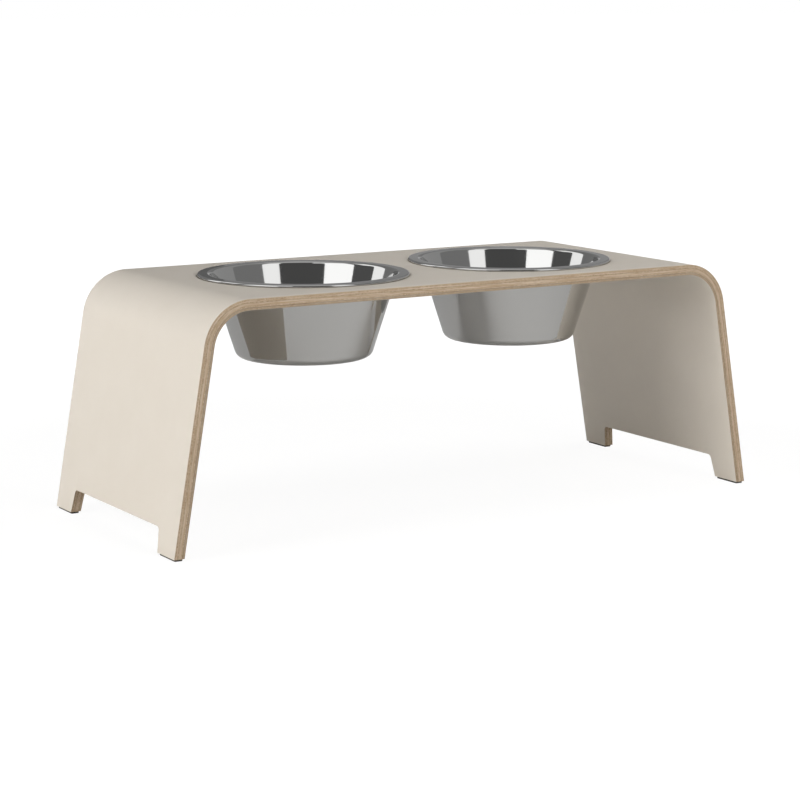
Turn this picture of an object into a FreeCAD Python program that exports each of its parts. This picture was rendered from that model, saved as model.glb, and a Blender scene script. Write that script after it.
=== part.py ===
import FreeCAD, Part
import Sketcher
import math
import os

# Elevated dog feeder: a bent plywood board, laminated on both faces, that is top and legs in one,
# with two pressed steel bowls hung in its holes and a glide under each foot.
# Millimetres and degrees. X runs along the board, -Y is the front, Z is up, and the floor is at Z = 0.

SIZES = {
    # bent board, measured on its outer face
    "board_depth": 268.0,       # front to back
    "foot_span": 668.0,         # across both legs, at the foot ends
    "top_height": 236.7,        # floor to the upper face
    "leg_splay": 9.87,          # lean of the legs from vertical
    "bend_radius": 48.0,        # outer face of each bend
    # layers of the board
    "laminate_thick": 0.8,
    "veneer_thick": 1.05,
    "core_thick": 2.8,
    # notch that leaves two feet on each leg
    "notch_height": 23.2,       # above the foot ends
    "foot_width": 35.3,         # front to back, at the foot end
    "notch_slant": 10.0,        # lean of the notch's sides from vertical
    "notch_corner": 4.5,
    # glides
    "glide_thick": 2.0,
    "glide_inset": 1.4,         # from the edges of the foot end
    "glide_corner": 1.2,
    # bowls
    "rim_radius": 105.15,       # outside of the rolled rim
    "bowl_gap": 34.3,           # between the two rims
    "flange_width": 12.55,      # outside of the rim to the wall's outside, level with the board's upper face
    "curl_radius": 1.9,         # outside of the rim's curl
    "rim_rise": 2.65,           # rim's top above the board
    "sheet_thick": 0.7,
    "wall_slope": 17.6,         # lean of the wall from vertical
    "bowl_drop": 81.5,          # board's upper face to the bowl's underside
    "neck_radius": 3.4,         # upper side of the bend from flange to wall
    "base_radius": 9.45,        # outside of the bend from wall to base
    # fits
    "seat_clearance": 0.3,      # rim to its seat in the board, below and around it
    "hole_clearance": 4.0,      # bowl's wall to the hole
    "overrun": 10.0,            # how far a cut runs past what it cuts
}

# Layers of the board from the outer face inwards, each with the size that is its thickness.
LAYERS = [
    ("outer_laminate", "laminate_thick"),
    ("veneer_1", "veneer_thick"),
    ("veneer_2", "veneer_thick"),
    ("veneer_3", "veneer_thick"),
    ("veneer_4", "core_thick"),
    ("veneer_5", "veneer_thick"),
    ("veneer_6", "veneer_thick"),
    ("veneer_7", "veneer_thick"),
    ("inner_laminate", "laminate_thick"),
]
SIDES = {"left": -1, "right": 1}
ENDS = {"front": -1, "back": 1}

# Ends of a sketch line or arc, and the sketch's own origin and axes.
START, END, CENTRE = range(1, 4)
X_AXIS, Y_AXIS = range(-1, -3, -1)
ORIGIN = (X_AXIS, START)

# Places that follow the rim: each bowl's axis from the middle of the board, and the outside of its wall.
BOWL_OFFSET = "(Sizes.rim_radius + Sizes.bowl_gap / 2)"
WALL_RADIUS = "(Sizes.rim_radius - Sizes.flange_width)"

doc = FreeCAD.newDocument("elevated_dog_feeder")
sheet = doc.addObject("Spreadsheet::Sheet", "Sizes")
for row, (alias, size) in enumerate(SIZES.items(), start=1):
    sheet.set("A%d" % row, alias)
    sheet.set("B%d" % row, str(size))
    sheet.setAlias("B%d" % row, alias)
doc.recompute()


def value(alias):
    return float(sheet.get(alias))


def total(aliases):
    return sum(value(alias) for alias in aliases)


def total_expression(aliases):
    return "(" + " + ".join("Sizes." + alias for alias in aliases) + ")" if aliases else "0"


def wall_radius():
    return value("rim_radius") - value("flange_width")


def vector(x, y):
    return FreeCAD.Vector(x, y, 0)


def new_body(name):
    body = doc.addObject("PartDesign::Body", name)
    body.Label = name
    return body


def new_sketch(body, name, role):
    """A sketch on one of the body's own origin planes."""
    plane = [feature for feature in body.Origin.OriginFeatures if feature.Role == role][0]
    sketch = body.newObject("Sketcher::SketchObject", name)
    sketch.AttachmentSupport = [(plane, "")]
    sketch.MapMode = "FlatFace"
    return sketch


def add_line(sketch, start, end):
    """A line, as its number and the two ends in drawing order."""
    return sketch.addGeometry(Part.LineSegment(vector(*start), vector(*end))), START, END


def add_arc(sketch, centre, radius, start_angle, end_angle):
    """An arc between two angles, drawn either way round, as its number and its ends in drawing order."""
    low, high = sorted((start_angle, end_angle))
    circle = Part.Circle(vector(*centre), FreeCAD.Vector(0, 0, 1), radius)
    number = sketch.addGeometry(Part.ArcOfCircle(circle, math.radians(low), math.radians(high)))
    return (number, START, END) if start_angle < end_angle else (number, END, START)


def join(sketch, pieces, corners=()):
    """Joins pieces end to start in a closed loop, smoothly except after the pieces listed as corners."""
    for before, after in zip(pieces, pieces[1:] + pieces[:1]):
        kind = "Coincident" if before in corners else "Tangent"
        sketch.addConstraint(Sketcher.Constraint(kind, before[0], before[2], after[0], after[1]))


def relate(sketch, kind, *targets):
    sketch.addConstraint(Sketcher.Constraint(kind, *targets))


def bind(sketch, kind, targets, size, expression):
    """A dimension of the sketch, bound to the sheet. The size is its first value, at which it is drawn."""
    number = sketch.addConstraint(Sketcher.Constraint(kind, *targets, size))
    sketch.setExpression("Constraints[%d]" % number, expression)


def draw_half_section(sketch, outer, inner):
    """Right half of one layer, from the front. outer and inner are the layers outside each of its faces."""
    splay = math.radians(value("leg_splay"))
    foot_z = value("glide_thick")
    centre_z = value("top_height") - value("bend_radius")
    half_span = value("foot_span") / 2
    centre_x = half_span - (centre_z - foot_z) * math.tan(splay) - value("bend_radius") / math.cos(splay)
    centre = (centre_x, centre_z)

    def face(depth):
        """Bend radius, end of the bend and foot end of the face that lies at a depth in the board."""
        radius = value("bend_radius") - depth
        knee = (centre_x + radius * math.cos(splay), centre_z + radius * math.sin(splay))
        return radius, knee, (half_span - depth / math.cos(splay), foot_z)

    outer_radius, outer_knee, outer_foot = face(total(outer))
    inner_radius, inner_knee, inner_foot = face(total(inner))
    leg_angle = value("leg_splay")
    outer_z, inner_z = centre_z + outer_radius, centre_z + inner_radius

    top_outer = add_line(sketch, (0, outer_z), (centre_x, outer_z))
    bend_outer = add_arc(sketch, centre, outer_radius, 90, leg_angle)
    leg_outer = add_line(sketch, outer_knee, outer_foot)
    foot = add_line(sketch, outer_foot, inner_foot)
    leg_inner = add_line(sketch, inner_foot, inner_knee)
    bend_inner = add_arc(sketch, centre, inner_radius, leg_angle, 90)
    top_inner = add_line(sketch, (centre_x, inner_z), (0, inner_z))
    middle = add_line(sketch, (0, inner_z), (0, outer_z))
    loop = [top_outer, bend_outer, leg_outer, foot, leg_inner, bend_inner, top_inner, middle]
    join(sketch, loop, corners=[leg_outer, foot, top_inner, middle])

    relate(sketch, "Horizontal", top_outer[0])
    relate(sketch, "Horizontal", top_inner[0])
    relate(sketch, "Horizontal", foot[0])
    relate(sketch, "Vertical", middle[0])
    relate(sketch, "PointOnObject", middle[0], START, Y_AXIS)
    relate(sketch, "Parallel", leg_outer[0], leg_inner[0])
    relate(sketch, "Coincident", bend_outer[0], CENTRE, bend_inner[0], CENTRE)
    outer_depth, inner_depth = total_expression(outer), total_expression(inner)
    bind(sketch, "Radius", [bend_outer[0]], outer_radius, "Sizes.bend_radius - " + outer_depth)
    bind(sketch, "Radius", [bend_inner[0]], inner_radius, "Sizes.bend_radius - " + inner_depth)
    bind(sketch, "Angle", [leg_inner[0]], math.radians(90 + leg_angle), "90 + Sizes.leg_splay")
    bind(sketch, "DistanceY", [*ORIGIN, bend_outer[0], CENTRE], centre_z,
         "Sizes.top_height - Sizes.bend_radius")
    bind(sketch, "DistanceX", [*ORIGIN, foot[0], START], outer_foot[0],
         "Sizes.foot_span / 2 - %s / cos(Sizes.leg_splay)" % outer_depth)
    bind(sketch, "DistanceY", [*ORIGIN, foot[0], START], foot_z, "Sizes.glide_thick")


def draw_notch(sketch):
    """Notch between the two feet of a leg, seen along the board, run down past the foot ends."""
    slant = math.radians(value("notch_slant"))
    corner = value("notch_corner")
    foot_z = value("glide_thick")
    top_z = foot_z + value("notch_height")
    low_z = foot_z - value("overrun")
    half_foot = value("board_depth") / 2 - value("foot_width")
    half_low = half_foot + (foot_z - low_z) * math.tan(slant)
    half_top = half_foot - (top_z - foot_z) * math.tan(slant)
    run = corner * math.tan((math.pi / 2 - slant) / 2)
    knee_y = half_top - run + corner * math.cos(slant)
    knee_z = top_z - corner + corner * math.sin(slant)
    corner_z = top_z - corner
    slant_angle = value("notch_slant")

    low = add_line(sketch, (-half_low, low_z), (half_low, low_z))
    back = add_line(sketch, (half_low, low_z), (knee_y, knee_z))
    back_corner = add_arc(sketch, (half_top - run, corner_z), corner, slant_angle, 90)
    top = add_line(sketch, (half_top - run, top_z), (run - half_top, top_z))
    front_corner = add_arc(sketch, (run - half_top, corner_z), corner, 90, 180 - slant_angle)
    front = add_line(sketch, (-knee_y, knee_z), (-half_low, low_z))
    join(sketch, [low, back, back_corner, top, front_corner, front], corners=[low, front])

    relate(sketch, "Horizontal", top[0])
    relate(sketch, "Symmetric", low[0], START, low[0], END, Y_AXIS)
    relate(sketch, "Equal", back_corner[0], front_corner[0])
    relate(sketch, "Equal", back[0], front[0])
    bind(sketch, "Radius", [back_corner[0]], corner, "Sizes.notch_corner")
    bind(sketch, "Angle", [back[0]], math.pi / 2 + slant, "90 + Sizes.notch_slant")
    bind(sketch, "DistanceY", [*ORIGIN, top[0], START], top_z, "Sizes.glide_thick + Sizes.notch_height")
    bind(sketch, "DistanceY", [low[0], START, *ORIGIN], -low_z, "Sizes.overrun - Sizes.glide_thick")
    bind(sketch, "DistanceX", [*ORIGIN, low[0], END], half_low,
         "Sizes.board_depth / 2 - Sizes.foot_width + Sizes.overrun * tan(Sizes.notch_slant)")


def draw_bowl_circle(sketch, radius, expression):
    """Circle on the right bowl's axis."""
    axis_x = value("rim_radius") + value("bowl_gap") / 2
    circle = sketch.addGeometry(Part.Circle(vector(axis_x, 0), FreeCAD.Vector(0, 0, 1), radius))
    relate(sketch, "PointOnObject", circle, CENTRE, X_AXIS)
    bind(sketch, "DistanceX", [*ORIGIN, circle, CENTRE], axis_x, BOWL_OFFSET)
    bind(sketch, "Radius", [circle], radius, expression)


def cut_through(body, sketch, name):
    pocket = body.newObject("PartDesign::Pocket", name)
    pocket.Profile = sketch
    pocket.Type = "ThroughAll"
    pocket.SideType = "Symmetric"


def make_layer(name, outer, inner):
    """One bent layer of the board: its right half with notch, bowl hole and rim seat, then both halves."""
    body = new_body(name)
    section = new_sketch(body, name + "_section", "XZ_Plane")
    draw_half_section(section, outer, inner)
    pad = body.newObject("PartDesign::Pad", name + "_bent")
    pad.Profile = section
    pad.SideType = "Symmetric"
    pad.setExpression("Length", "Sizes.board_depth")

    notch = new_sketch(body, name + "_notch_outline", "YZ_Plane")
    draw_notch(notch)
    cut_through(body, notch, name + "_notch")
    hole = new_sketch(body, name + "_hole_outline", "XY_Plane")
    draw_bowl_circle(hole, wall_radius() + value("hole_clearance"), WALL_RADIUS + " + Sizes.hole_clearance")
    cut_through(body, hole, name + "_hole")

    # The rim sits in a shallow seat, cut only into the layers that it reaches.
    seat_depth = 2 * value("curl_radius") - value("rim_rise") + value("seat_clearance")
    if total(outer) < seat_depth:
        seat = new_sketch(body, name + "_seat_outline", "XY_Plane")
        draw_bowl_circle(seat, value("rim_radius") + value("seat_clearance"),
                         "Sizes.rim_radius + Sizes.seat_clearance")
        seat.setExpression(".AttachmentOffset.Base.z",
                           "Sizes.top_height + Sizes.rim_rise - 2 * Sizes.curl_radius"
                           " - Sizes.seat_clearance")
        pocket = body.newObject("PartDesign::Pocket", name + "_seat")
        pocket.Profile = seat
        pocket.Reversed = True
        pocket.setExpression("Length", "2 * Sizes.curl_radius + Sizes.overrun")

    doc.recompute()
    mirror = body.newObject("PartDesign::Mirrored", name + "_both_halves")
    mirror.TransformMode = "Whole shape"
    mirror.MirrorPlane = (section, ["V_Axis"])
    body.Tip = mirror
    return body


def draw_bowl_section(sketch):
    """Right half of the bowl's sheet: base, wall, flange, and a rim curled down, under and back up."""
    slope = math.radians(value("wall_slope"))
    sheet_thick = value("sheet_thick")
    curl = value("curl_radius")
    flange_z = value("top_height") + value("rim_rise")
    curl_centre = (value("rim_radius") - curl, flange_z - curl)
    base_z = value("top_height") - value("bowl_drop")
    neck, base = value("neck_radius"), value("base_radius")
    neck_inner, base_inner, curl_inner = neck - sheet_thick, base - sheet_thick, curl - sheet_thick

    def wall_r(z):
        """Radius of the wall's outside at a height."""
        return wall_radius() + (z - value("top_height")) * math.tan(slope)

    # Centres of the two bends: the base's lies inside the wall, and the neck's lies outside it.
    base_centre_z = base_z + base
    base_centre = (wall_r(base_centre_z) - base / math.cos(slope), base_centre_z)
    neck_centre_z = flange_z - neck
    neck_centre = (wall_r(neck_centre_z) + neck_inner / math.cos(slope), neck_centre_z)

    def on_wall(centre, radius):
        """Where a bend meets the wall. A negative radius is a bend whose centre lies outside the bowl."""
        return centre[0] + radius * math.cos(slope), centre[1] - radius * math.sin(slope)

    lean = value("wall_slope")
    underside = add_line(sketch, (0, base_z), (base_centre[0], base_z))
    base_outer = add_arc(sketch, base_centre, base, -90, -lean)
    wall_outer = add_line(sketch, on_wall(base_centre, base), on_wall(neck_centre, -neck_inner))
    neck_under = add_arc(sketch, neck_centre, neck_inner, 180 - lean, 90)
    flange_under = add_line(sketch, (neck_centre[0], flange_z - sheet_thick),
                            (curl_centre[0], flange_z - sheet_thick))
    curl_inside = add_arc(sketch, curl_centre, curl_inner, 90, -180)
    lip = add_line(sketch, (curl_centre[0] - curl_inner, curl_centre[1]),
                   (curl_centre[0] - curl, curl_centre[1]))
    curl_outside = add_arc(sketch, curl_centre, curl, -180, 90)
    flange_top = add_line(sketch, (curl_centre[0], flange_z), (neck_centre[0], flange_z))
    neck_top = add_arc(sketch, neck_centre, neck, 90, 180 - lean)
    wall_inner = add_line(sketch, on_wall(neck_centre, -neck), on_wall(base_centre, base_inner))
    base_inside = add_arc(sketch, base_centre, base_inner, -lean, -90)
    floor = add_line(sketch, (base_centre[0], base_z + sheet_thick), (0, base_z + sheet_thick))
    axis = add_line(sketch, (0, base_z + sheet_thick), (0, base_z))
    loop = [underside, base_outer, wall_outer, neck_under, flange_under, curl_inside, lip, curl_outside,
            flange_top, neck_top, wall_inner, base_inside, floor, axis]
    join(sketch, loop, corners=[curl_inside, lip, floor, axis])

    relate(sketch, "Horizontal", underside[0])
    relate(sketch, "Horizontal", flange_under[0])
    relate(sketch, "Horizontal", floor[0])
    relate(sketch, "Horizontal", lip[0])
    relate(sketch, "Horizontal", lip[0], START, curl_inside[0], CENTRE)
    relate(sketch, "Vertical", axis[0])
    relate(sketch, "PointOnObject", axis[0], START, Y_AXIS)
    for outer, inner in ((base_outer, base_inside), (neck_under, neck_top), (curl_inside, curl_outside)):
        relate(sketch, "Coincident", outer[0], CENTRE, inner[0], CENTRE)
    bind(sketch, "Radius", [base_outer[0]], base, "Sizes.base_radius")
    bind(sketch, "Radius", [base_inside[0]], base_inner, "Sizes.base_radius - Sizes.sheet_thick")
    bind(sketch, "Radius", [neck_top[0]], neck, "Sizes.neck_radius")
    bind(sketch, "Radius", [neck_under[0]], neck_inner, "Sizes.neck_radius - Sizes.sheet_thick")
    bind(sketch, "Radius", [curl_outside[0]], curl, "Sizes.curl_radius")
    bind(sketch, "Radius", [curl_inside[0]], curl_inner, "Sizes.curl_radius - Sizes.sheet_thick")
    bind(sketch, "Angle", [wall_outer[0]], math.pi / 2 - slope, "90 - Sizes.wall_slope")
    bind(sketch, "DistanceX", [*ORIGIN, curl_outside[0], CENTRE], curl_centre[0],
         "Sizes.rim_radius - Sizes.curl_radius")
    bind(sketch, "DistanceY", [*ORIGIN, curl_outside[0], CENTRE], curl_centre[1],
         "Sizes.top_height + Sizes.rim_rise - Sizes.curl_radius")
    bind(sketch, "DistanceY", [*ORIGIN, underside[0], START], base_z, "Sizes.top_height - Sizes.bowl_drop")
    bind(sketch, "DistanceX", [*ORIGIN, neck_top[0], CENTRE], neck_centre[0],
         WALL_RADIUS + " + (Sizes.rim_rise - Sizes.neck_radius) * tan(Sizes.wall_slope)"
         " + (Sizes.neck_radius - Sizes.sheet_thick) / cos(Sizes.wall_slope)")


def make_bowl(name, side):
    body = new_body(name)
    section = new_sketch(body, name + "_section", "XZ_Plane")
    draw_bowl_section(section)
    turned = body.newObject("PartDesign::Revolution", name + "_turned")
    turned.Profile = section
    turned.ReferenceAxis = (section, ["V_Axis"])
    turned.Angle = 360
    body.setExpression(".Placement.Base.x", "%d * %s" % (side, BOWL_OFFSET))
    return body


def make_glide(name, side, end):
    """A pad under one foot, inset from the edges of the foot end."""
    board = [thickness for _, thickness in LAYERS]
    foot_depth = total(board) / math.cos(math.radians(value("leg_splay")))
    foot_depth_expression = total_expression(board) + " / cos(Sizes.leg_splay)"
    half_x = foot_depth / 2 - value("glide_inset")
    half_y = value("foot_width") / 2 - value("glide_inset")

    body = new_body(name)
    outline = new_sketch(body, name + "_outline", "XY_Plane")
    corners = [(-half_x, -half_y), (half_x, -half_y), (half_x, half_y), (-half_x, half_y)]
    edges = [add_line(outline, start, stop) for start, stop in zip(corners, corners[1:] + corners[:1])]
    join(outline, edges, corners=edges)
    for edge, kind in zip(edges, ("Horizontal", "Vertical", "Horizontal", "Vertical")):
        relate(outline, kind, edge[0])
    relate(outline, "Symmetric", edges[0][0], START, edges[2][0], START, *ORIGIN)
    bind(outline, "DistanceX", [edges[0][0], START, edges[0][0], END], 2 * half_x,
         foot_depth_expression + " - 2 * Sizes.glide_inset")
    bind(outline, "DistanceY", [edges[1][0], START, edges[1][0], END], 2 * half_y,
         "Sizes.foot_width - 2 * Sizes.glide_inset")
    pad = body.newObject("PartDesign::Pad", name + "_pad")
    pad.Profile = outline
    pad.setExpression("Length", "Sizes.glide_thick")
    doc.recompute()

    upright = ["Edge%d" % number for number, edge in enumerate(pad.Shape.Edges, start=1)
               if edge.BoundBox.ZLength > edge.BoundBox.XLength + edge.BoundBox.YLength]
    rounded = body.newObject("PartDesign::Fillet", name + "_rounded")
    rounded.Base = (pad, upright)
    rounded.setExpression("Radius", "Sizes.glide_corner")
    body.setExpression(".Placement.Base.x",
                       "%d * (Sizes.foot_span / 2 - %s / 2)" % (side, foot_depth_expression))
    body.setExpression(".Placement.Base.y", "%d * (Sizes.board_depth - Sizes.foot_width) / 2" % end)
    return body


def check_document(bodies):
    """Stops if an object failed, a sketch is loose, a cut removed nothing or a body isn't one solid."""
    for obj in doc.Objects:
        if "Invalid" in obj.State or "Error" in obj.State:
            raise RuntimeError("%s failed: %s" % (obj.Name, obj.State))
        if obj.TypeId == "Sketcher::SketchObject" and not obj.FullyConstrained:
            raise RuntimeError("%s isn't fully constrained" % obj.Name)
        if obj.TypeId == "PartDesign::Pocket" and obj.Shape.Volume >= obj.BaseFeature.Shape.Volume:
            raise RuntimeError("%s cuts nothing" % obj.Name)
    for body in bodies:
        shape = body.Shape
        if shape.isNull() or not shape.isValid() or len(shape.Solids) != 1:
            raise RuntimeError("%s isn't one valid solid" % body.Label)


bodies = []
for index, (layer, thickness) in enumerate(LAYERS):
    outside = [alias for _, alias in LAYERS[:index]]
    bodies.append(make_layer(layer, outside, outside + [thickness]))
for side_name, side in SIDES.items():
    bodies.append(make_bowl("bowl_" + side_name, side))
    for end_name, end in ENDS.items():
        bodies.append(make_glide("glide_%s_%s" % (side_name, end_name), side, end))
doc.recompute()
check_document(bodies)

os.makedirs("parts", exist_ok=True)
for body in bodies:
    body.Shape.exportStep(os.path.join("parts", body.Label + ".step"))
    box = body.Shape.optimalBoundingBox(False)
    print("%-18s %9.1f mm3  %6.1f x %5.1f x %5.1f mm" %
          (body.Label, body.Shape.Volume, box.XLength, box.YLength, box.ZLength))
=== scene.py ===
import math

import bpy
import numpy as np
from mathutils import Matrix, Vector


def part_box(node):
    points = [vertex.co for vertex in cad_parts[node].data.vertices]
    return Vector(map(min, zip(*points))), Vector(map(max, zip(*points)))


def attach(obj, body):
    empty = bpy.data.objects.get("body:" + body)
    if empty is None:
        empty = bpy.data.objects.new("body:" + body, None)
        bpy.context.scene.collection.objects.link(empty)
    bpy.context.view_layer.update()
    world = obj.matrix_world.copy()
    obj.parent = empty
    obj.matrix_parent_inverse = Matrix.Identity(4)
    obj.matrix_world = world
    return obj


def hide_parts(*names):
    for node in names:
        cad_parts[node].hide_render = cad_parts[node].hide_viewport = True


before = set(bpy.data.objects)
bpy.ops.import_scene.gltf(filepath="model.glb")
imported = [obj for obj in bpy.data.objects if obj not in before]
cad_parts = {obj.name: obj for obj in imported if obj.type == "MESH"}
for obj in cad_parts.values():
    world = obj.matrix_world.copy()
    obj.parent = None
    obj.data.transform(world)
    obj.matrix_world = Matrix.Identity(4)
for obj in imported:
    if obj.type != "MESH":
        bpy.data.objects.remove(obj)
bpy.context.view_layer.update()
mm = 0.001


# An sRGB hex colour as linear red, green, blue and alpha.
def linear(code):
    shares = np.array([int(code[k:k + 2], 16) for k in (1, 3, 5)]) / 255
    return [*np.where(shares <= 0.04045, shares / 12.92, ((shares + 0.055) / 1.055) ** 2.4), 1.0]


# One node with its settings, and each input either set to a value or linked to a socket.
def addNode(tree, kind, inputs=None, **settings):
    node = tree.nodes.new(kind)
    for name, value in settings.items():
        setattr(node, name, value)
    for name, value in (inputs or {}).items():
        if isinstance(value, bpy.types.NodeSocket):
            tree.links.new(value, node.inputs[name])
        else:
            node.inputs[name].default_value = value
    return node


# A material with an empty node tree.
def newMaterial(name):
    material = bpy.data.materials.new(name)
    material.use_nodes = True
    material.node_tree.nodes.clear()
    return material, material.node_tree


# Leads the finished shader to the material's output.
def finishMaterial(tree, shader):
    addNode(tree, "ShaderNodeOutputMaterial", {"Surface": shader.outputs[0]})


# Quads of a grid whose points are numbered row by row, turned from the row's way to the column's way.
def gridQuads(rows, columns, closed=False):
    i, j = np.meshgrid(np.arange(rows - 1), np.arange(columns if closed else columns - 1), indexing="ij")
    after = (j + 1) % columns
    corners = [i * columns + j, (i + 1) * columns + j, (i + 1) * columns + after, i * columns + after]
    return np.stack(corners, -1).reshape(-1, 4)


# A mesh object from whole arrays. Its attributes are one number or one vector for each point.
def addObject(name, points, faces, attributes=None, sharpAngle=None):
    mesh = bpy.data.meshes.new(name)
    mesh.from_pydata(points.tolist(), [], faces)
    for label, values in (attributes or {}).items():
        kind, field = ("FLOAT", "value") if values.ndim == 1 else ("FLOAT_VECTOR", "vector")
        mesh.attributes.new(label, kind, "POINT").data.foreach_set(field, values.astype(np.float32).ravel())
    mesh.shade_smooth()
    if sharpAngle is not None:
        mesh.set_sharp_from_angle(angle=sharpAngle)
    piece = bpy.data.objects.new(name, mesh)
    bpy.context.scene.collection.objects.link(piece)
    return piece


# Gives a finished piece its material and body, and hides the CAD node that it stands for.
def dress(piece, material, body, node):
    piece.data.materials.append(material)
    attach(piece, body)
    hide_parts(node)


# Matt decorative laminate: a pale printed paper with a fine suede grain, on a brown paper core that shows
# only where the sheet is cut. The eye gets an even, nearly glossless face with a faint mottle.
def matteLaminate():
    look = {
        "decor": "#e1d9cd",
        "mottle": "#dbd2c5",
        "core": "#bca68c",
        "decorShare": 0.2,              # of the sheet's thickness
        "mottleSize": 45 * mm,
        "suedeSize": 0.9 * mm,          # real grain is about 0.2 mm, drawn coarser so that it shows
        "suedeDepth": 0.012 * mm,
        "roughness": (0.5, 0.62),
    }
    material, tree = newMaterial("matteLaminate")
    place = addNode(tree, "ShaderNodeTexCoord").outputs["Object"]
    share = addNode(tree, "ShaderNodeAttribute", attribute_name="sheetShare").outputs["Fac"]
    mottle = addNode(tree, "ShaderNodeTexNoise", {
        "Vector": place, "Scale": 1 / look["mottleSize"], "Detail": 4.0, "Roughness": 0.6})
    suede = addNode(tree, "ShaderNodeTexNoise", {
        "Vector": place, "Scale": 1 / look["suedeSize"], "Detail": 2.0})
    decor = addNode(tree, "ShaderNodeMix", {
        "Factor": mottle.outputs["Fac"], "A": linear(look["decor"]), "B": linear(look["mottle"])},
        data_type="RGBA")
    inCore = addNode(tree, "ShaderNodeMath", {0: share, 1: look["decorShare"]}, operation="GREATER_THAN")
    tone = addNode(tree, "ShaderNodeAttribute", attribute_name="leafTone").outputs["Fac"]
    core = addNode(tree, "ShaderNodeVectorMath", {
        0: linear(look["core"])[:3], "Scale": tone}, operation="SCALE")
    colour = addNode(tree, "ShaderNodeMix", {
        "Factor": inCore.outputs[0], "A": decor.outputs["Result"], "B": core.outputs["Vector"]},
        data_type="RGBA")
    silky, dull = look["roughness"]
    roughness = addNode(tree, "ShaderNodeMapRange", {
        "Value": suede.outputs["Fac"], "To Min": silky, "To Max": dull})
    bump = addNode(tree, "ShaderNodeBump", {
        "Height": suede.outputs["Fac"], "Strength": 1.0, "Distance": look["suedeDepth"]})
    shader = addNode(tree, "ShaderNodeBsdfPrincipled", {
        "Base Color": colour.outputs["Result"], "Roughness": roughness.outputs["Result"],
        "Normal": bump.outputs["Normal"], "IOR": 1.5})
    finishMaterial(tree, shader)
    return material


# Rotary-cut beech veneer under clear oil, seen at its cut edges. Along the grain the eye gets fine long
# streaks and short dark ray flecks, across the grain darker end pores, and at each leaf's faces a glue line.
def beechVeneer(name, grainAlongBoard):
    look = {
        "pale": "#d6c3ab" if grainAlongBoard else "#cab69d",
        "dark": "#baa081" if grainAlongBoard else "#a78f71",
        "fleck": "#957353",
        "glue": "#7d6148",
        "streakLength": 38 * mm,
        "streakWidth": 1.1 * mm,        # real fibres are finer, drawn as coarse as they show
        "fleckLength": 9.0 * mm,
        "fleckWidth": 0.5 * mm,
        "glueShare": 0.87,              # of half the leaf's thickness
        "streakContrast": (0.38, 0.62),  # of the streaks' noise, from dark to pale
        "fleckContrast": (0.57, 0.7),   # of the flecks' noise, from none to full
        "fleckStrength": 0.75,
        "glueStrength": 0.9,
        "fibreDepth": 0.03 * mm,
        "roughness": (0.5, 0.68),
    }
    material, tree = newMaterial(name)
    place = addNode(tree, "ShaderNodeAttribute", attribute_name="sheetPlace").outputs["Vector"]
    share = addNode(tree, "ShaderNodeAttribute", attribute_name="sheetShare").outputs["Fac"]
    tone = addNode(tree, "ShaderNodeAttribute", attribute_name="leafTone").outputs["Fac"]

    # noise drawn out along the grain
    def grainNoise(length, width, detail):
        along, across = 1 / length, 1 / width
        stretch = (along, across, across) if grainAlongBoard else (across, along, across)
        vector = addNode(tree, "ShaderNodeVectorMath", {0: place, 1: stretch}, operation="MULTIPLY")
        return addNode(tree, "ShaderNodeTexNoise", {
            "Vector": vector.outputs[0], "Scale": 1.0, "Detail": detail, "Roughness": 0.6}).outputs["Fac"]

    streak = grainNoise(look["streakLength"], look["streakWidth"], 4.0)
    fleck = grainNoise(look["fleckLength"], look["fleckWidth"], 1.0)
    low, high = look["streakContrast"]
    contrast = addNode(tree, "ShaderNodeMapRange", {"Value": streak, "From Min": low, "From Max": high})
    wood = addNode(tree, "ShaderNodeMix", {
        "Factor": contrast.outputs["Result"], "A": linear(look["dark"]), "B": linear(look["pale"])},
        data_type="RGBA")
    low, high = look["fleckContrast"]
    fleckMask = addNode(tree, "ShaderNodeMapRange", {
        "Value": fleck, "From Min": low, "From Max": high, "To Max": look["fleckStrength"]})
    flecked = addNode(tree, "ShaderNodeMix", {
        "Factor": fleckMask.outputs["Result"], "A": wood.outputs["Result"], "B": linear(look["fleck"])},
        data_type="RGBA")
    centred = addNode(tree, "ShaderNodeMath", {0: share, 1: 0.5}, operation="SUBTRACT")
    outward = addNode(tree, "ShaderNodeMath", {0: centred.outputs[0]}, operation="ABSOLUTE")
    glueMask = addNode(tree, "ShaderNodeMapRange", {
        "Value": outward.outputs[0], "From Min": look["glueShare"] / 2, "From Max": 0.5,
        "To Max": look["glueStrength"]})
    glued = addNode(tree, "ShaderNodeMix", {
        "Factor": glueMask.outputs["Result"], "A": flecked.outputs["Result"], "B": linear(look["glue"])},
        data_type="RGBA")
    toned = addNode(tree, "ShaderNodeVectorMath", {
        0: glued.outputs["Result"], "Scale": tone}, operation="SCALE")
    bump = addNode(tree, "ShaderNodeBump", {
        "Height": streak, "Strength": 1.0, "Distance": look["fibreDepth"]})
    silky, dull = look["roughness"]
    roughness = addNode(tree, "ShaderNodeMapRange", {"Value": fleck, "To Min": silky, "To Max": dull})
    shader = addNode(tree, "ShaderNodeBsdfPrincipled", {
        "Base Color": toned.outputs["Vector"], "Roughness": roughness.outputs["Result"],
        "Normal": bump.outputs["Normal"], "IOR": 1.5})
    finishMaterial(tree, shader)
    return material


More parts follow.
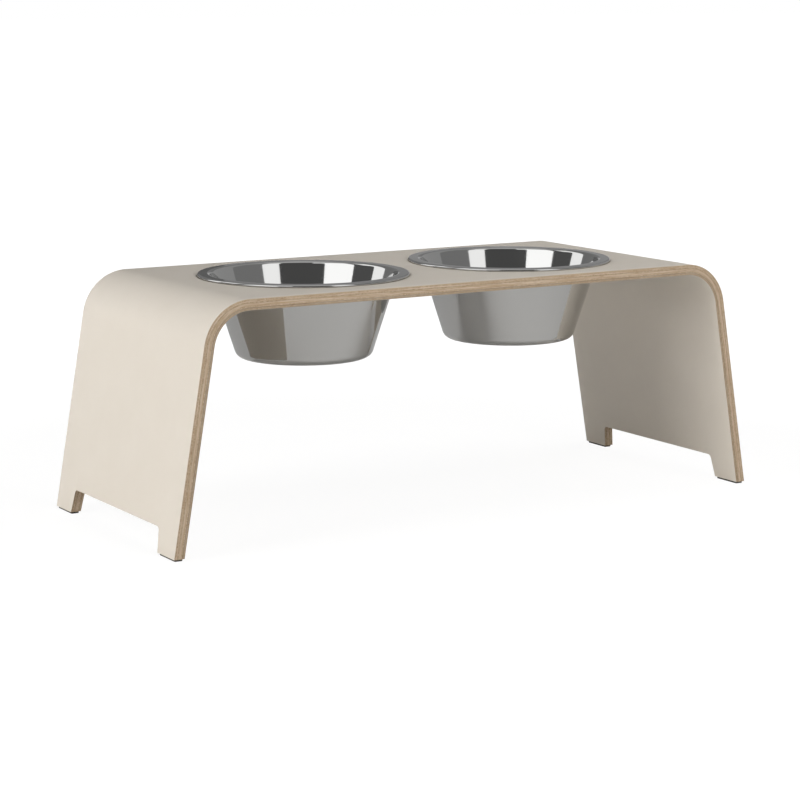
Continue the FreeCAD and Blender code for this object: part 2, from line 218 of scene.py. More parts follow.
# Bright polished stainless steel, pressed and then buffed on a lathe: a clear mirror with a slight blur,
# and very faint rings where the buff ran round.
def polishedSteel():
    look = {
        "colour": "#c9c9c8",
        "ringSpacing": 0.8 * mm,        # real buffing marks are under 0.1 mm, drawn as coarse as they show
        "ringDepth": 0.0006 * mm,
        "hazeSize": 30 * mm,
        "hazeContrast": (0.3, 0.7),
        "roughness": (0.05, 0.075),
    }
    material, tree = newMaterial("polishedSteel")
    place = addNode(tree, "ShaderNodeTexCoord").outputs["Object"]
    run = addNode(tree, "ShaderNodeAttribute", attribute_name="sheetRun").outputs["Fac"]
    rings = addNode(tree, "ShaderNodeTexNoise", {
        "W": run, "Scale": 1 / look["ringSpacing"], "Detail": 3.0}, noise_dimensions="1D")
    haze = addNode(tree, "ShaderNodeTexNoise", {
        "Vector": place, "Scale": 1 / look["hazeSize"], "Detail": 3.0})
    low, high = look["hazeContrast"]
    clear, hazy = look["roughness"]
    roughness = addNode(tree, "ShaderNodeMapRange", {
        "Value": haze.outputs["Fac"], "From Min": low, "From Max": high, "To Min": clear, "To Max": hazy})
    bump = addNode(tree, "ShaderNodeBump", {
        "Height": rings.outputs["Fac"], "Strength": 1.0, "Distance": look["ringDepth"]})
    shader = addNode(tree, "ShaderNodeBsdfPrincipled", {
        "Base Color": linear(look["colour"]), "Metallic": 1.0, "Roughness": roughness.outputs["Result"],
        "Normal": bump.outputs["Normal"]})
    finishMaterial(tree, shader)
    return material


# Dark moulded rubber pad: dull, with a fine grainy skin that is dusty on its high spots.
def mouldedRubber():
    look = {"rubber": "#3a3733", "dust": "#57524b", "grainSize": 0.7 * mm, "grainDepth": 0.05 * mm}
    material, tree = newMaterial("mouldedRubber")
    place = addNode(tree, "ShaderNodeTexCoord").outputs["Object"]
    grain = addNode(tree, "ShaderNodeTexNoise", {
        "Vector": place, "Scale": 1 / look["grainSize"], "Detail": 3.0})
    colour = addNode(tree, "ShaderNodeMix", {
        "Factor": grain.outputs["Fac"], "A": linear(look["rubber"]), "B": linear(look["dust"])},
        data_type="RGBA")
    bump = addNode(tree, "ShaderNodeBump", {
        "Height": grain.outputs["Fac"], "Strength": 1.0, "Distance": look["grainDepth"]})
    shader = addNode(tree, "ShaderNodeBsdfPrincipled", {
        "Base Color": colour.outputs["Result"], "Roughness": 0.85, "IOR": 1.52,
        "Normal": bump.outputs["Normal"]})
    finishMaterial(tree, shader)
    return material


laminate = matteLaminate()
longGrain = beechVeneer("beechLongGrain", True)
crossGrain = beechVeneer("beechCrossGrain", False)
steel = polishedSteel()
rubber = mouldedRubber()
print("materials:", len(bpy.data.materials))

# The bent board: nine sheets of one shape, each a flat outline carried along the bent path at its depth.
board = {
    "layers": ["outer_laminate"] + ["veneer_%d" % k for k in range(1, 8)] + ["inner_laminate"],
    "bendRadius": 48.0 * mm,            # outer face of each bend
    "legSplay": math.radians(9.87),     # lean of the legs from upright
    "notchHeight": 23.2 * mm,           # above the foot ends
    "footWidth": 35.3 * mm,             # front to back, at the foot end
    "notchSlant": math.radians(10.0),   # lean of the notch's sides from upright
    "notchCorner": 4.5 * mm,
    "holeRadius": 96.6 * mm,
    "seatGap": 0.3 * mm,                # round the rim
    "seatDepth": 1.45 * mm,
    "holeBlock": 116.0 * mm,            # half the length of the stretch that is drawn round a hole
    "arris": 0.3 * mm,                  # eased edge of the laminates
    "leafTones": [1.0, 1.05, 1.03, 0.98, 0.99, 1.11, 0.66, 0.97, 0.74],  # one for each layer
    "grainShift": 1.7,                  # metres from one layer's grain to the next, so that all differ
    "bendSteps": 48,
    "roundSteps": 160,                  # round a hole
    "ringShares": [0, 0.12, 0.3, 0.6, 1],  # of the way from a hole to the rectangle round it
    "flatSteps": 2,                     # from that rectangle to the bend
    "legSteps": 8,
    "cornerSteps": 8,                   # round a notch's corner
    "slantSteps": 3,                    # down a notch's side
    "arrisSteps": 3,
    "columnGap": 1.2 * mm,              # an even column nearer than this to a notch's column is left out
    "weldGap": 0.001 * mm,              # points that round to the same multiple of this are one
    "sharpAngle": math.radians(20.0),
}
sheetLow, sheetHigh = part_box("outer_laminate")
topZ, footZ = sheetHigh.z, sheetLow.z
halfSpan, halfDepth = sheetHigh.x, sheetHigh.y
faceDepths = np.array([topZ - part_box(name)[1].z for name in board["layers"]])
faceDepths = np.append(faceDepths, faceDepths[-1] + faceDepths[1])  # both laminates are equally thick
bowlLow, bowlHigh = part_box("bowl_right")
bowlAxis = (bowlLow.x + bowlHigh.x) / 2
rimRadius = (bowlHigh.x - bowlLow.x) / 2

radius, splay = board["bendRadius"], board["legSplay"]
bendZ = topZ - radius
bendX = halfSpan - (bendZ - footZ) * math.tan(splay) - radius / math.cos(splay)
bendTurn = math.pi / 2 - splay
kneeRun = bendX + radius * bendTurn
legRun = (bendZ - footZ + radius * math.sin(splay)) / math.cos(splay)

slant, corner = board["notchSlant"], board["notchCorner"]
footY = halfDepth - board["footWidth"]
notchZ = footZ + board["notchHeight"]
arcY = footY - board["notchHeight"] * math.tan(slant) - corner * math.tan((math.pi / 2 - slant) / 2)
arcKneeY = arcY + corner * math.cos(slant)


# Height at which a leg ends: the foot end, the notch's slanted side, its round corner or its flat top.
def legEnd(across):
    place = np.abs(across)
    onArc = notchZ - corner + np.sqrt(np.maximum(corner ** 2 - (place - arcY) ** 2, 0))
    onSlant = footZ + (footY - place) / math.tan(slant)
    return np.select([place >= footY, place > arcKneeY, place > arcY], [footZ, onSlant, onArc], notchZ)


# Points of the bent board. Run goes along its outer face from the middle, and the last stretch of each
# column, down the leg, is scaled to end at the foot or the notch. Depth is square to the outer face.
# Gives the points and each point's true run.
def bend(run, across, depth):
    side, run = np.sign(run), np.abs(run)
    inner = radius - depth
    turn = np.clip((run - bendX) / radius, 0, bendTurn)
    drop = (bendZ - legEnd(across) + inner * math.sin(splay)) / math.cos(splay)
    leg = np.clip((run - kneeRun) / legRun, 0, 1) * drop
    x = np.minimum(run, bendX) + inner * np.sin(turn) + leg * math.sin(splay)
    z = bendZ + inner * np.cos(turn) - leg * math.cos(splay)
    return np.stack([side * x, across, z], -1), side * (np.minimum(run, kneeRun) + leg)


# Places across the board at which its outline is drawn: even steps round a hole, and the notch's corners
# and sides, in both halves.
def columnPlaces():
    half = board["holeBlock"]
    steps = np.linspace(-1, 1, board["roundSteps"] // 4 + 1) * math.atan2(halfDepth, half)
    even = half * np.tan(steps)
    arc = arcY + corner * np.sin(np.linspace(0, math.pi / 2 - slant, board["cornerSteps"] + 1))
    side = np.linspace(arc[-1], footY, board["slantSteps"] + 1)[1:]
    needed = np.concatenate([arc, side])
    needed = np.concatenate([-needed, needed])
    apart = np.abs(even[:, None] - needed).min(1) > board["columnGap"]
    return np.unique(np.concatenate([even[apart], needed]))


columns = columnPlaces()


# The right half of the flat board in blocks, then its mirror: a ring from each hole to the rectangle
# round it, and plain grids for the middle and for the stretch that bends and runs down the leg.
def flatBlocks(holeRadius):
    half = board["holeBlock"]
    low, high = bowlAxis - half, bowlAxis + half
    spread = np.linspace(math.atan2(halfDepth, half), math.pi - math.atan2(halfDepth, half),
                         board["roundSteps"] // 4 + 1)
    along = halfDepth / np.tan(spread)[1:-1]
    right = np.stack([np.full_like(columns, half), columns], -1)
    back = np.stack([along, np.full_like(along, halfDepth)], -1)
    rectangle = np.concatenate([right, back, right[::-1] * [-1, 1], back[::-1] * [1, -1]])
    circle = rectangle / np.linalg.norm(rectangle, axis=1)[:, None] * holeRadius
    outwards = np.array(board["ringShares"])[:, None, None]
    ring = circle + (rectangle - circle) * outwards + [bowlAxis, 0]
    middle = np.stack(np.meshgrid([0, low], columns, indexing="ij"), -1)
    runs = np.concatenate([
        np.linspace(high, bendX, board["flatSteps"] + 1)[:-1],
        np.linspace(bendX, kneeRun, board["bendSteps"] + 1)[:-1],
        np.linspace(kneeRun, kneeRun + legRun, board["legSteps"] + 1)])
    end = np.stack(np.meshgrid(runs, columns, indexing="ij"), -1)
    points, quads, count = [], [], 0
    for block, closed in ((ring, True), (middle, False), (end, False)):
        points.append(block.reshape(-1, 2))
        quads.append(gridQuads(*block.shape[:2], closed) + count)
        count += block.shape[0] * block.shape[1]
    points, quads = np.concatenate(points), np.concatenate(quads)
    return np.concatenate([points, points * [-1, 1]]), np.concatenate([quads, quads[:, ::-1] + count])


# The blocks share their seams: points that fall together become one. The numbers suit every hole radius.
blockPoints, blockQuads = flatBlocks(board["holeRadius"])
_, firstPoints, pointNumbers = np.unique(
    np.round(blockPoints / board["weldGap"]), axis=0, return_index=True, return_inverse=True)
flatQuads = pointNumbers.ravel()[blockQuads]
flatCount = len(firstPoints)

# Edges that only one quad has are the sheet's outline, with the sheet on their left.
allEdges = np.concatenate([flatQuads[:, [k, (k + 1) % 4]] for k in range(4)])
edgeKeys = allEdges.min(1) * flatCount + allEdges.max(1)
_, firstEdges, edgeUses = np.unique(edgeKeys, return_index=True, return_counts=True)
outlineEdges = allEdges[firstEdges[edgeUses == 1]]
outline = np.unique(outlineEdges)
outlineEdges = np.searchsorted(outline, outlineEdges)
flatHole = blockPoints[firstPoints]
flatSeat = flatBlocks(rimRadius + board["seatGap"])[0][firstPoints]
fromAxis = np.hypot(np.abs(flatHole[outline, 0]) - bowlAxis, flatHole[outline, 1])
holePoints = fromAxis < board["holeRadius"] + mm

# Step outwards at each point of the outline that moves both its edges by one unit, as a mitre does.
edgeWay = flatHole[outline][outlineEdges[:, 1]] - flatHole[outline][outlineEdges[:, 0]]
edgeOut = np.stack([edgeWay[:, 1], -edgeWay[:, 0]], -1) / np.linalg.norm(edgeWay, axis=1)[:, None]
outAfter, outBefore = np.zeros((len(outline), 2)), np.zeros((len(outline), 2))
outAfter[outlineEdges[:, 0]] = edgeOut
outBefore[outlineEdges[:, 1]] = edgeOut
mitre = (outAfter + outBefore) / (1 + (outAfter * outBefore).sum(1))[:, None]


# One sheet: its outer and inner face, and a wall of rings round every outline between them. Rings lists,
# from the outer face to the inner one, each ring's place on the flat board and its depth. The share of
# the thickness counts from the outer face or from the inner one, and seed shifts the grain.
def addSheet(name, outerFlat, outerDepth, innerFlat, innerDepth, rings, fromOuter, tone, seed):
    outerFlat, innerFlat = outerFlat.copy(), innerFlat.copy()
    outerFlat[outline], innerFlat[outline] = rings[0][0], rings[-1][0]
    middle = rings[1:-1]
    flat = np.concatenate([outerFlat] + [ring[0] for ring in middle] + [innerFlat])
    depth = np.concatenate([np.full(flatCount, outerDepth)]
                           + [np.broadcast_to(ring[1], len(outline)) for ring in middle]
                           + [np.full(flatCount, innerDepth)])
    points, run = bend(flat[:, 0], flat[:, 1], depth)
    size = len(outline)
    innerStart = flatCount + size * len(middle)
    numbers = [outline] + [flatCount + k * size + np.arange(size) for k in range(len(middle))]
    numbers.append(innerStart + outline)
    start, stop = outlineEdges.T
    walls = [np.stack([upper[stop], upper[start], lower[start], lower[stop]], -1)
             for upper, lower in zip(numbers, numbers[1:])]
    faces = np.concatenate([flatQuads, flatQuads[:, ::-1] + innerStart] + walls)
    share = (depth - outerDepth) / (innerDepth - outerDepth)
    return addObject(name, points, faces.tolist(), {
        "sheetPlace": np.stack([run + seed, flat[:, 1], depth], -1),
        "sheetShare": share if fromOuter else 1 - share,
        "leafTone": np.full(len(points), tone)}, board["sharpAngle"])


# Rings of an eased edge: a quarter round from the face, drawn in by the arris, to the cut.
def arrisRings(flat, faceDepth, inwards):
    edge = flat[outline]
    rings = []
    for turn in np.linspace(0, math.pi / 2, board["arrisSteps"] + 1):
        drawnIn = board["arris"] * (1 - math.sin(turn))
        rings.append((edge - mitre * drawnIn, faceDepth + inwards * board["arris"] * (1 - math.cos(turn))))
    return rings


# All layers from the outside in. A layer that the seat's floor lies in has a step in its wall there.
def buildBoard():
    for k, node in enumerate(board["layers"]):
        outerDepth, innerDepth = faceDepths[k], faceDepths[k + 1]
        outerFlat = flatSeat if outerDepth < board["seatDepth"] else flatHole
        innerFlat = flatSeat if innerDepth < board["seatDepth"] else flatHole
        rings = [(outerFlat[outline], outerDepth), (innerFlat[outline], innerDepth)]
        if node == "outer_laminate":
            rings = arrisRings(outerFlat, outerDepth, 1) + rings[1:]
        elif node == "inner_laminate":
            rings = rings[:1] + arrisRings(innerFlat, innerDepth, -1)[::-1]
        if outerFlat is not innerFlat:
            thick = innerDepth - outerDepth
            upper = np.where(holePoints, board["seatDepth"], outerDepth + thick / 3)
            lower = np.where(holePoints, board["seatDepth"], outerDepth + 2 * thick / 3)
            rings[1:1] = [(outerFlat[outline], upper), (innerFlat[outline], lower)]
        sheet = addSheet(node + "_sheet", outerFlat, outerDepth, innerFlat, innerDepth, rings,
                         node != "inner_laminate", board["leafTones"][k], k * board["grainShift"])
        if "laminate" in node:
            dress(sheet, laminate, "bench", node)
        elif k % 2:
            dress(sheet, crossGrain, "bench", node)
        else:
            dress(sheet, longGrain, "bench", node)
    print("board:", len(board["layers"]), "sheets of", len(flatQuads), "quads a face")


buildBoard()

# A pressed bowl: one section of steel sheet, turned about the bowl's axis.
bowl = {
    "sheet": 0.7 * mm,
    "flangeWidth": 12.55 * mm,          # outside of the rim to the wall's outside, level with the board
    "curlRadius": 1.9 * mm,             # outside of the rim's curl
    "neckRadius": 3.4 * mm,             # upper side of the bend from flange to wall
    "baseRadius": 9.45 * mm,            # outside of the bend from wall to base
    "wallSlope": math.radians(17.6),    # lean of the wall from upright
    "turnSteps": 256,
    "arcSteps": {"base": 14, "neck": 12, "curl": 30},
    "lineSteps": {"base": 3, "wall": 6},
}


# The section in drawing order, from the axis under the base, out over the wall and round the curl to the
# lip, and back inside. Each piece is a line or an arc with its own normals, so bends shade exactly.
def bowlSection(rimZ, baseZ):
    sheet, slope, curl = bowl["sheet"], bowl["wallSlope"], bowl["curlRadius"]
    base, neck = bowl["baseRadius"], bowl["neckRadius"]
    curlAt = (rimRadius - curl, rimZ - curl)

    # outside of the leaning wall at a height
    def wallRadius(z):
        return rimRadius - bowl["flangeWidth"] + (z - topZ) * math.tan(slope)

    baseAt = (wallRadius(baseZ + base) - base / math.cos(slope), baseZ + base)
    neckAt = (wallRadius(rimZ - neck) + (neck - sheet) / math.cos(slope), rimZ - neck)
    points, normals = [], []

    # facing is 1 where the steel's surface faces away from the arc's centre, and -1 where it faces it
    def arc(centre, size, start, stop, steps, facing):
        turn = np.linspace(start, stop, steps + 1)
        way = np.stack([np.cos(turn), np.sin(turn)], -1)
        points.append(np.array(centre) + way * size)
        normals.append(way * facing)

    # the surface faces to the right of the way from start to stop
    def line(start, stop, steps=1):
        share = np.linspace(0, 1, steps + 1)[:, None]
        way = np.array(stop) - np.array(start)
        points.append(np.array(start) + way * share)
        normals.append(np.broadcast_to([way[1], -way[0]] / np.linalg.norm(way), (steps + 1, 2)))

    def last():
        return points[-1][-1]

    down, up = -math.pi / 2, math.pi / 2
    arcs, lines = bowl["arcSteps"], bowl["lineSteps"]
    line((0, baseZ), (baseAt[0], baseZ), lines["base"])
    arc(baseAt, base, down, -slope, arcs["base"], 1)
    wallEnd = (neckAt[0] - (neck - sheet) * math.cos(slope), neckAt[1] + (neck - sheet) * math.sin(slope))
    line(last(), wallEnd, lines["wall"])
    arc(neckAt, neck - sheet, math.pi - slope, up, arcs["neck"], -1)
    line(last(), (curlAt[0], rimZ - sheet))
    arc(curlAt, curl - sheet, up, -math.pi, arcs["curl"], -1)
    line(last(), (curlAt[0] - curl, curlAt[1]))
    arc(curlAt, curl, -math.pi, up, arcs["curl"], 1)
    line(last(), (neckAt[0], rimZ))
    arc(neckAt, neck, up, math.pi - slope, arcs["neck"], 1)
    innerEnd = (baseAt[0] + (base - sheet) * math.cos(slope), baseAt[1] - (base - sheet) * math.sin(slope))
    line(last(), innerEnd, lines["wall"])
    arc(baseAt, base - sheet, -slope, down, arcs["base"], -1)
    line(last(), (0, baseZ + sheet), lines["base"])
    return points, normals


# Turns the section: ring points for all but its two ends on the axis, which are one point each. The
# corner normals come from the section, so that a corner such as the lip stays crisp.
def addBowl(name, axisX, rimZ, baseZ):
    pieces, pieceNormals = bowlSection(rimZ, baseZ)
    section = np.concatenate([pieces[0]] + [piece[1:] for piece in pieces[1:]])
    startNormals = np.concatenate([normal[:-1] for normal in pieceNormals])
    stopNormals = np.concatenate([normal[1:] for normal in pieceNormals])
    run = np.append(0, np.cumsum(np.linalg.norm(np.diff(section, axis=0), axis=1)))
    turns = bowl["turnSteps"]
    angle = np.arange(turns) * 2 * math.pi / turns
    way = np.stack([np.cos(angle), np.sin(angle)], -1)

    # pairs of radius and height, carried round the axis
    def turned(pairs, around):
        level = pairs[:, None, :1] * around
        return np.concatenate([level, np.broadcast_to(pairs[:, None, 1:], level.shape[:2] + (1,))], -1)

    rings = section[1:-1]
    axisEnds = [[0, 0, baseZ], [0, 0, baseZ + bowl["sheet"]]]
    points = np.concatenate([turned(rings, way).reshape(-1, 3), axisEnds]) + [axisX, 0, 0]
    quads = gridQuads(len(rings), turns, True)[:, ::-1]
    first, after = np.arange(turns), (np.arange(turns) + 1) % turns
    lastRing, axisLow, axisHigh = (len(rings) - 1) * turns, len(points) - 2, len(points) - 1
    lowFan = np.stack([first, np.full(turns, axisLow), after], -1)
    highFan = np.stack([lastRing + after, np.full(turns, axisHigh), lastRing + first], -1)
    ringRun = np.concatenate([np.repeat(run[1:-1], turns), run[[0, -1]]])
    faces = quads.tolist() + lowFan.tolist() + highFan.tolist()
    piece = addObject(name, points, faces, {"sheetRun": ringRun})

    wayAfter = np.roll(way, -1, axis=0)
    starts, stops = startNormals[1:-1], stopNormals[1:-1]
    corners = [(starts, wayAfter), (stops, wayAfter), (stops, way), (starts, way)]
    loops = np.stack([turned(normals, around) for normals, around in corners], 2).reshape(-1, 3)
    flatDown, flatUp = np.tile([0, 0, -1.0], (3 * turns, 1)), np.tile([0, 0, 1.0], (3 * turns, 1))
    piece.data.normals_split_custom_set(np.concatenate([loops, flatDown, flatUp]).tolist())
    return piece


# Both bowls, each where its CAD node lies.
def buildBowls():
    for side in ("left", "right"):
        low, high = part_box("bowl_" + side)
        piece = addBowl("bowl_%s_turned" % side, (low.x + high.x) / 2, high.z, low.z)
        dress(piece, steel, side + "_bowl", "bowl_" + side)
    print("bowls:", len(piece.data.polygons), "faces each")


buildBowls()

# A glide: a pad with round corners and an eased lower edge, stuck under each foot.
glide = {
    "corner": 1.2 * mm,
    "ease": 0.4 * mm,
    "cornerSteps": 6,
    "easeSteps": 4,
    "sharpAngle": math.radians(40.0),
}


# Outline of a rounded rectangle, carried up a profile that starts and ends on the pad's middle.
def addGlide(name, low, high):
    middle = np.array([(low.x + high.x) / 2, (low.y + high.y) / 2])
    half = np.array([high.x - low.x, high.y - low.y]) / 2
    turn = np.linspace(0, math.pi / 2, glide["cornerSteps"] + 1)
    quarter = np.stack([np.cos(turn), np.sin(turn)], -1)
    ways = np.concatenate([quarter @ [[c, s], [-s, c]] for c, s in ((1, 0), (0, 1), (-1, 0), (0, -1))])
    signs = np.repeat([[1, 1], [-1, 1], [-1, -1], [1, -1]], len(turn), 0)
    ease = np.linspace(-math.pi / 2, 0, glide["easeSteps"] + 1)
    drawnIn = np.concatenate([glide["ease"] * (1 - np.cos(ease)), [0]])
    heights = np.concatenate([low.z + glide["ease"] * (1 + np.sin(ease)), [high.z]])
    corner = glide["corner"]
    rings = middle + signs * (half - corner) + ways * (corner - drawnIn)[:, None, None]
    rings = np.concatenate([rings, np.broadcast_to(heights[:, None, None], rings.shape[:2] + (1,))], -1)
    rows, size = rings.shape[:2]
    points = np.concatenate([rings.reshape(-1, 3), [[*middle, low.z], [*middle, high.z]]])
    first, after = np.arange(size), (np.arange(size) + 1) % size
    top = (rows - 1) * size
    lowFan = np.stack([first, np.full(size, rows * size), after], -1)
    highFan = np.stack([top + after, np.full(size, rows * size + 1), top + first], -1)
    faces = gridQuads(rows, size, True)[:, ::-1].tolist() + lowFan.tolist() + highFan.tolist()
    return addObject(name, points, faces, None, glide["sharpAngle"])


# One pad at each foot's CAD node.
def buildGlides():
    for side in ("left", "right"):
        for end in ("front", "back"):
            node = "glide_%s_%s" % (side, end)
            dress(addGlide(node + "_pad", *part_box(node)), rubber, "bench", node)
    print("glides: 4 pads")


buildGlides()

# The stage: a pale floor, softboxes, and drapes that only the polished steel sees between them.
stage = {
    "floor": "#edecea",
    "floorReach": 30.0,
    "floorPoints": 3,                   # along each side
    "floorShows": 0.16,                 # share of the floor's own light and shadow that the camera sees
    "floorWhite": 1.1,                  # the rest, where 1 is white
    "shadowReach": (0.5, 1.1),          # where the floor fades to plain white
    "ambient": "#ffffff",
    "ambientLevel": 0.05,
    "screenRadius": 5.0,
    "screenBottom": -2.5,               # degrees up from the board
    "screenTop": 50.0,
    "screenColumns": 33,
    "screenRows": 17,
    "lampDistance": 3.2,
}
# Screens all round, in degrees from the front towards the right. Level is how brightly a screen glows.
# Where its foot glows otherwise, fade gives the two angles above the board between which it changes.
screens = [
    {"name": "backSoftbox", "from": -154.0, "to": -132.0, "level": 1.35, "foot": 0.15, "fade": (5.5, 6.5)},
    {"name": "backWing", "from": -132.0, "to": -116.0, "level": 1.2, "foot": 0.108, "fade": (26.0, 28.0)},
    {"name": "leftRearDrape", "from": -116.0, "to": -99.5, "level": 0.108},
    {"name": "leftSoftbox", "from": -99.5, "to": -59.0, "level": 1.62, "foot": 0.35, "fade": (19.0, 21.0)},
    {"name": "leftWing", "from": -59.0, "to": -44.0, "level": 1.3, "foot": 0.092, "fade": (32.0, 34.0)},
    {"name": "frontDrape", "from": -44.0, "to": 2.5, "level": 0.092},
    {"name": "frontSoftbox", "from": 2.5, "to": 26.5, "level": 1.38, "foot": 0.7, "fade": (19.0, 21.0)},
    {"name": "rightFrontDrape", "from": 26.5, "to": 74.0, "level": 0.24},
    {"name": "rightDrape", "from": 74.0, "to": 125.0, "level": 0.36},
    {"name": "backDrape", "from": 125.0, "to": 155.0, "level": 0.22, "foot": 0.42, "fade": (5.2, 7.0)},
    {"name": "backLeftDrape", "from": 155.0, "to": 175.0, "level": 0.22, "foot": 0.12, "fade": (7.5, 9.0)},
    {"name": "backCornerDrape", "from": 175.0, "to": 206.0, "level": 0.22},
    {"name": "ceilingDrape", "from": 0.0, "to": 360.0, "bottom": 50.0, "top": 89.9,
     "level": 0.6, "foot": 0.37, "fade": (60.0, 74.0)},
]
# Lamps give the soft light, and no gloss shows them. Their angles are in degrees, as for the screens.
lamps = [
    {"name": "leftLamp", "azimuth": -86, "elevation": 35, "size": (1.4, 1.0), "power": 25.5},
    {"name": "leftLowLamp", "azimuth": -84, "elevation": 5, "size": (0.7, 0.6), "power": 39.2},
    {"name": "frontLamp", "azimuth": 3, "elevation": 12, "size": (0.8, 1.2), "power": 31.6},
    {"name": "highFrontLamp", "azimuth": 5, "elevation": 45, "distance": 1.1,
     "size": (0.6, 0.6), "power": 2.05},
    {"name": "highRightLamp", "azimuth": 90, "elevation": 60, "distance": 1.3,
     "size": (0.8, 0.8), "power": 4.2},
    {"name": "rightLamp", "azimuth": 92, "elevation": 10, "size": (1.6, 1.0), "power": 13.5},
    {"name": "backLamp", "azimuth": 195, "elevation": 14, "size": (2.4, 1.2), "power": 8.0,
     "colour": "#eef3ff"},
    {"name": "backLeftLamp", "azimuth": 218, "elevation": 7, "size": (1.0, 0.8), "power": 13.4},
]


# Unit vector from the object outwards, turned from the front towards the right and then raised.
def heading(azimuth, elevation):
    a, e = math.radians(azimuth), math.radians(elevation)
    return Vector((math.sin(a) * math.cos(e), -math.cos(a) * math.cos(e), math.sin(e)))


# Cloth that glows evenly, or that passes with height from its foot's level to the one above.
def glowingCloth(screen):
    material, tree = newMaterial(screen["name"] + "Cloth")
    level = screen["level"]
    fade = screen.get("fade", (0.0, 1.0))  # of no account where the foot glows as the rest does
    place = addNode(tree, "ShaderNodeTexCoord").outputs["Object"]
    height = addNode(tree, "ShaderNodeSeparateXYZ", {0: place}).outputs["Z"]
    low, high = (topZ + stage["screenRadius"] * math.sin(math.radians(angle)) for angle in fade)
    strength = addNode(tree, "ShaderNodeMapRange", {
        "Value": height, "From Min": low, "From Max": high,
        "To Min": screen.get("foot", level), "To Max": level})
    finishMaterial(tree, addNode(tree, "ShaderNodeEmission", {"Strength": strength.outputs["Result"]}))
    return material


# A plain floor. For the camera it is nearly white, with a faint shadow that fades out round the object.
def buildFloor():
    reach = np.linspace(-1, 1, stage["floorPoints"]) * stage["floorReach"]
    x, y = np.meshgrid(reach, reach, indexing="ij")
    points = np.stack([x, y, np.zeros_like(x)], -1).reshape(-1, 3)
    floor = addObject("floor", points, gridQuads(*x.shape).tolist())
    material, tree = newMaterial("paleFloor")
    seen = addNode(tree, "ShaderNodeLightPath").outputs["Is Camera Ray"]
    place = addNode(tree, "ShaderNodeTexCoord").outputs["Object"]
    away = addNode(tree, "ShaderNodeVectorMath", {0: place}, operation="LENGTH")
    near, far = stage["shadowReach"]
    fade = addNode(tree, "ShaderNodeMapRange", {
        "Value": away.outputs["Value"], "From Min": near, "From Max": far,
        "To Min": 1 - stage["floorShows"], "To Max": 1.0}, interpolation_type="SMOOTHSTEP")
    share = addNode(tree, "ShaderNodeMath", {0: seen, 1: fade.outputs["Result"]}, operation="MULTIPLY")
    lit = addNode(tree, "ShaderNodeBsdfDiffuse", {"Color": linear(stage["floor"])})
    white = addNode(tree, "ShaderNodeEmission", {"Strength": stage["floorWhite"]})
    mixed = addNode(tree, "ShaderNodeMixShader", {
        0: share.outputs[0], 1: lit.outputs[0], 2: white.outputs[0]})
    finishMaterial(tree, mixed)
    floor.data.materials.append(material)


# A patch of a sphere round the board, between two azimuths and two elevations.
def buildScreens():
    for screen in screens:
        bottom = screen.get("bottom", stage["screenBottom"])
        top = screen.get("top", stage["screenTop"])
        azimuth = np.radians(np.linspace(screen["from"], screen["to"], stage["screenColumns"]))
        elevation = np.radians(np.linspace(bottom, top, stage["screenRows"]))
        a, e = np.meshgrid(azimuth, elevation, indexing="ij")
        way = np.stack([np.sin(a) * np.cos(e), -np.cos(a) * np.cos(e), np.sin(e)], -1)
        points = way.reshape(-1, 3) * stage["screenRadius"] + [0, 0, topZ]
        patch = addObject(screen["name"], points, gridQuads(*a.shape).tolist())
        patch.data.materials.append(glowingCloth(screen))
        patch.visible_camera = patch.visible_diffuse = patch.visible_shadow = False


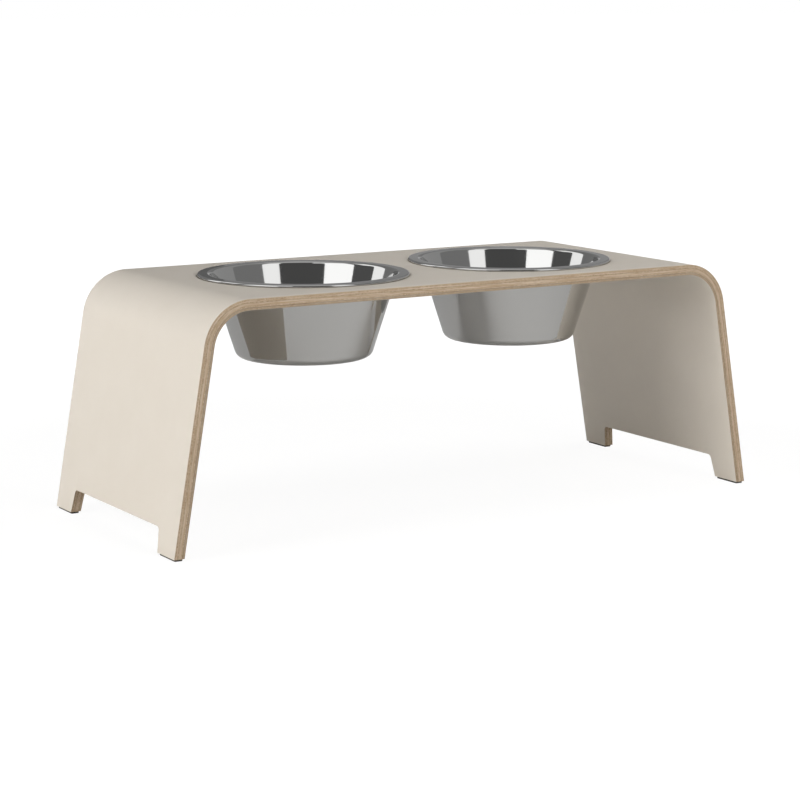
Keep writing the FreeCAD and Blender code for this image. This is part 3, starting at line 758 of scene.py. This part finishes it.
# Area lamps that face the middle of the object.
def buildLamps():
    centre = Vector((0, 0, topZ / 2))
    for lamp in lamps:
        light = bpy.data.lights.new(lamp["name"], "AREA")
        light.shape = "RECTANGLE"
        light.size, light.size_y = lamp["size"]
        light.energy = lamp["power"]
        light.color = linear(lamp.get("colour", "#ffffff"))[:3]
        holder = bpy.data.objects.new(lamp["name"], light)
        way = heading(lamp["azimuth"], lamp["elevation"])
        holder.location = centre + way * lamp.get("distance", stage["lampDistance"])
        holder.rotation_mode = "QUATERNION"
        holder.rotation_quaternion = way.to_track_quat("Z", "Y")
        holder.visible_camera = holder.visible_glossy = False
        bpy.context.scene.collection.objects.link(holder)


# The camera and the steel see a white room, and everything else gets an even soft light from it.
def buildWorld():
    world = bpy.data.worlds.new("whiteRoom")
    world.use_nodes = True
    tree = world.node_tree
    tree.nodes.clear()
    path = addNode(tree, "ShaderNodeLightPath")
    seen = addNode(tree, "ShaderNodeMath", {
        0: path.outputs["Is Camera Ray"], 1: path.outputs["Is Glossy Ray"]}, operation="MAXIMUM")
    seen = addNode(tree, "ShaderNodeMath", {
        0: seen.outputs[0], 1: path.outputs["Is Transmission Ray"]}, operation="MAXIMUM")
    soft = addNode(tree, "ShaderNodeBackground", {
        "Color": linear(stage["ambient"]), "Strength": stage["ambientLevel"]})
    white = addNode(tree, "ShaderNodeBackground", {"Strength": 1.0, "Color": (1, 1, 1, 1)})
    mixed = addNode(tree, "ShaderNodeMixShader", {
        0: seen.outputs[0], 1: soft.outputs[0], 2: white.outputs[0]})
    addNode(tree, "ShaderNodeOutputWorld", {"Surface": mixed.outputs[0]})
    bpy.context.scene.world = world


buildFloor()
buildScreens()
buildLamps()
buildWorld()
print("stage:", len(screens), "screens,", len(lamps), "lamps")

# The photograph's camera: a long lens from the front left, a little above the board.
view = {
    "azimuth": -31.459,
    "elevation": 10.04,
    "distance": 2407.4 * mm,
    "target": Vector((-10.6, 0, 100.5)) * mm,
    "lens": 105.94,
    "sensor": 36.0,
    "clip": (0.05, 200.0),
}


# The camera stands back from its target along the viewing angle and looks at it.
def buildCamera():
    data = bpy.data.cameras.new("photoCamera")
    data.sensor_width = view["sensor"]
    data.lens = view["lens"]
    data.clip_start, data.clip_end = view["clip"]
    holder = bpy.data.objects.new("photoCamera", data)
    back = heading(view["azimuth"], view["elevation"])
    holder.location = view["target"] + back * view["distance"]
    holder.rotation_mode = "QUATERNION"
    holder.rotation_quaternion = back.to_track_quat("Z", "Y")
    bpy.context.scene.collection.objects.link(holder)
    bpy.context.scene.camera = holder


buildCamera()
bpy.context.scene.view_settings.view_transform = "Standard"
